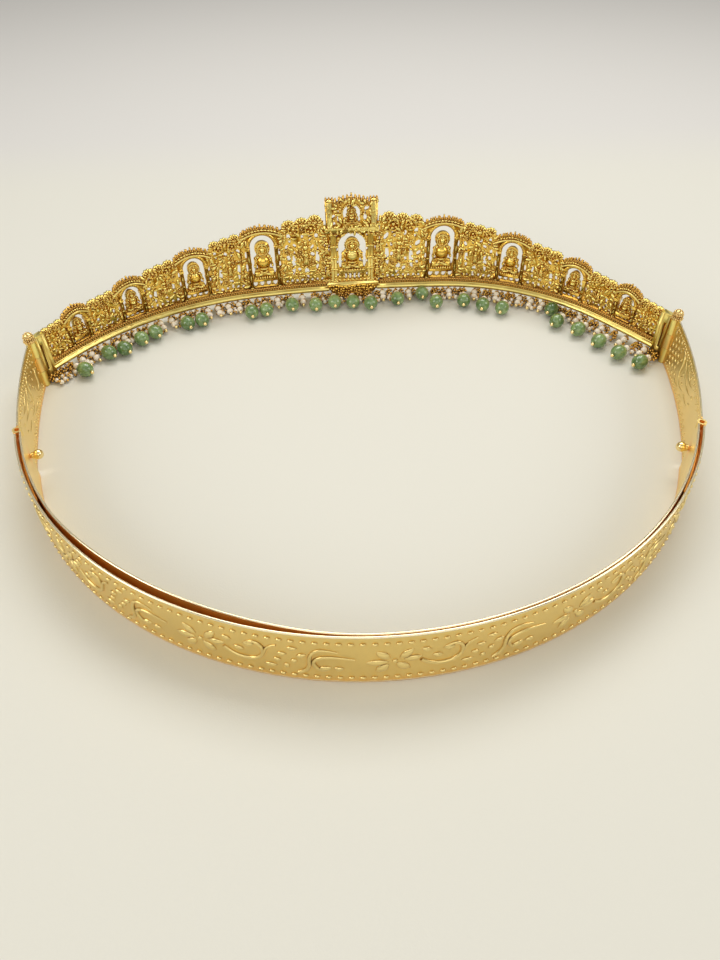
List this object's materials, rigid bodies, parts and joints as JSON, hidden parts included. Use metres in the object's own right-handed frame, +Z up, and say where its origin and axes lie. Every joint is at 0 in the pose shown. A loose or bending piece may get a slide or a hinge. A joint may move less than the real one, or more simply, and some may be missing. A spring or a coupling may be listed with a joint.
{
  "type": "waist belt",
  "caption": "Ornate rigid waist belt: a pierced temple-style front panel hinged to plain side bands that slide into a double-walled back sleeve, with a fringe of beads.",
  "frame": {"origin": "bottom centre of the belt's bounding box, on the surface that its lower edge stands on", "axes": "+X to the right seen from the plain back, +Y from the back sleeve towards the ornate front panel, +Z up"},
  "size_m": [0.282, 0.2287, 0.0524],
  "materials": {
    "panel_gold": "antique gold temple work",
    "band_gold": "satin gold with embossed ornament",
    "polished_gold": "polished",
    "green_stone": "translucent polished stone bead",
    "pearl": "pearl lustre"
  },
  "bodies": {
    "front_panel": {"centre_motif": "panel_gold", "left_wing": "panel_gold", "right_wing": "panel_gold", "drop_wires": "polished_gold", "pearl_fringe": "pearl", "green_bead_01": "green_stone", "green_bead_02": "green_stone", "green_bead_03": "green_stone", "green_bead_04": "green_stone", "green_bead_05": "green_stone", "green_bead_06": "green_stone", "green_bead_07": "green_stone", "green_bead_08": "green_stone", "green_bead_09": "green_stone", "green_bead_10": "green_stone", "green_bead_11": "green_stone", "green_bead_12": "green_stone", "green_bead_13": "green_stone", "green_bead_14": "green_stone", "green_bead_15": "green_stone", "green_bead_16": "green_stone", "green_bead_17": "green_stone", "green_bead_18": "green_stone", "green_bead_19": "green_stone", "green_bead_20": "green_stone", "green_bead_21": "green_stone", "green_bead_22": "green_stone", "green_bead_23": "green_stone", "green_bead_24": "green_stone", "green_bead_25": "green_stone", "green_bead_26": "green_stone"},
    "back_band": {"left_side_band": "band_gold", "right_side_band": "band_gold", "back_sleeve": "band_gold"},
    "left_pin": {"left_hinge_pin": "polished_gold"},
    "right_pin": {"right_hinge_pin": "polished_gold"},
    "left_screw": {"left_ball_screw": "polished_gold"},
    "right_screw": {"right_ball_screw": "polished_gold"}
  },
  "joints": [
    {"name": "left_hinge", "type": "hinge", "parent": "front_panel", "child": "back_band", "pos_m": [-0.13884, 0.03975, 0.011], "axis": [0, 0, -1], "range_deg": [0, 90]},
    {"name": "left_pin_pull", "type": "slide", "parent": "front_panel", "child": "left_pin", "axis": [0, 0, 1], "range_m": [0, 0.026]},
    {"name": "right_pin_pull", "type": "slide", "parent": "front_panel", "child": "right_pin", "axis": [0, 0, 1], "range_m": [0, 0.026]},
    {"name": "left_screw_back_off", "type": "slide", "parent": "back_band", "child": "left_screw", "axis": [0.9494, 0.3139, 0], "range_m": [0, 0.003]},
    {"name": "right_screw_back_off", "type": "slide", "parent": "back_band", "child": "right_screw", "axis": [-0.9232, 0.3842, 0], "range_m": [0, 0.003]}
  ]
}
